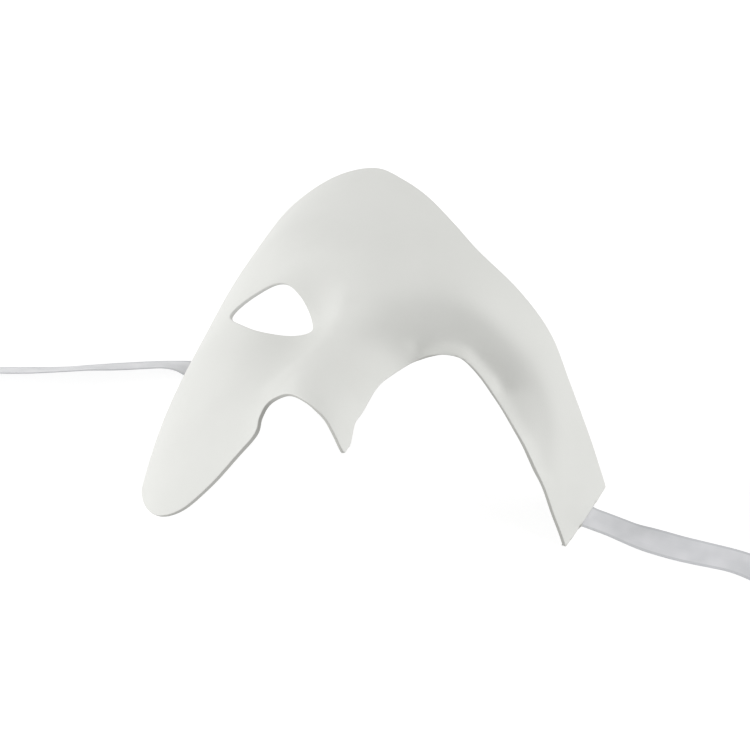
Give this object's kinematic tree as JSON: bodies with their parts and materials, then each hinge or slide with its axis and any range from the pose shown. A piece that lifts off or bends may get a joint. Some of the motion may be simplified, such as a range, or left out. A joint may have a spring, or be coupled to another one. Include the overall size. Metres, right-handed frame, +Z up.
{
  "type": "one-eyed half mask",
  "caption": "Plain white moulded half mask with an eye hole, an open arch for the other eye, a nose point, a cheek lobe and satin ribbon ties.",
  "frame": {"origin": "under the middle of the mask's footprint, on the surface that it lies on", "axes": "+Z up out of the face as the mask lies on its trimmed back edges, +X towards the wearer's left, +Y towards the forehead"},
  "size_m": [0.5271, 0.1708, 0.0792],
  "materials": {
    "mask_plastic": "plain white, satin, slightly warm",
    "ribbon_satin": "pale silver-grey satin ribbon with woven edges"
  },
  "bodies": {
    "root": {"mask_shell": "mask_plastic", "ribbon_left_tab": "ribbon_satin", "ribbon_left": "ribbon_satin", "ribbon_left_coil": "ribbon_satin", "ribbon_right_tab": "ribbon_satin", "ribbon_right": "ribbon_satin", "ribbon_right_coil": "ribbon_satin"}
  },
  "joints": []
}
